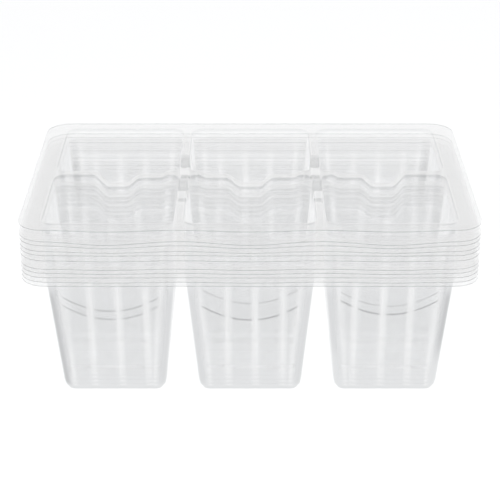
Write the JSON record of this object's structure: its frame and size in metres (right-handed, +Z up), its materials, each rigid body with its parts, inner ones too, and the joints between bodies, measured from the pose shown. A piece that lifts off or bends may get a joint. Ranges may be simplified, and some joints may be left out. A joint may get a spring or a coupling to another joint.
{
  "type": "nested egg tray stack",
  "caption": "Nested stack of clear thermoformed trays, each with two rows of three tapered square cells, saddled ridge and flat rim.",
  "frame": {"origin": "under the middle of the stack, at the underside of the lowest tray's cells", "axes": "+X along the rows of three cells, +Y across the two rows, +Z up, the way the trays lift off"},
  "size_m": [0.17, 0.111, 0.0746],
  "materials": {
    "clear_sheet": "clear, smooth formed sheet"
  },
  "bodies": {
    "tray_01": {"tray_01": "clear_sheet"},
    "tray_02": {"tray_02": "clear_sheet"},
    "tray_03": {"tray_03": "clear_sheet"},
    "tray_04": {"tray_04": "clear_sheet"},
    "tray_05": {"tray_05": "clear_sheet"},
    "tray_06": {"tray_06": "clear_sheet"},
    "tray_07": {"tray_07": "clear_sheet"},
    "tray_08": {"tray_08": "clear_sheet"},
    "tray_09": {"tray_09": "clear_sheet"},
    "tray_10": {"tray_10": "clear_sheet"},
    "tray_11": {"tray_11": "clear_sheet"}
  },
  "joints": [
    {"name": "tray_02_lift", "type": "slide", "parent": "tray_01", "child": "tray_02", "axis": [0, 0, 1], "range_m": [0, 0.055]},
    {"name": "tray_03_lift", "type": "slide", "parent": "tray_02", "child": "tray_03", "axis": [0, 0, 1], "range_m": [0, 0.055]},
    {"name": "tray_04_lift", "type": "slide", "parent": "tray_03", "child": "tray_04", "axis": [0, 0, 1], "range_m": [0, 0.055]},
    {"name": "tray_05_lift", "type": "slide", "parent": "tray_04", "child": "tray_05", "axis": [0, 0, 1], "range_m": [0, 0.055]},
    {"name": "tray_06_lift", "type": "slide", "parent": "tray_05", "child": "tray_06", "axis": [0, 0, 1], "range_m": [0, 0.055]},
    {"name": "tray_07_lift", "type": "slide", "parent": "tray_06", "child": "tray_07", "axis": [0, 0, 1], "range_m": [0, 0.055]},
    {"name": "tray_08_lift", "type": "slide", "parent": "tray_07", "child": "tray_08", "axis": [0, 0, 1], "range_m": [0, 0.055]},
    {"name": "tray_09_lift", "type": "slide", "parent": "tray_08", "child": "tray_09", "axis": [0, 0, 1], "range_m": [0, 0.055]},
    {"name": "tray_10_lift", "type": "slide", "parent": "tray_09", "child": "tray_10", "axis": [0, 0, 1], "range_m": [0, 0.055]},
    {"name": "tray_11_lift", "type": "slide", "parent": "tray_10", "child": "tray_11", "axis": [0, 0, 1], "range_m": [0, 0.055]}
  ]
}
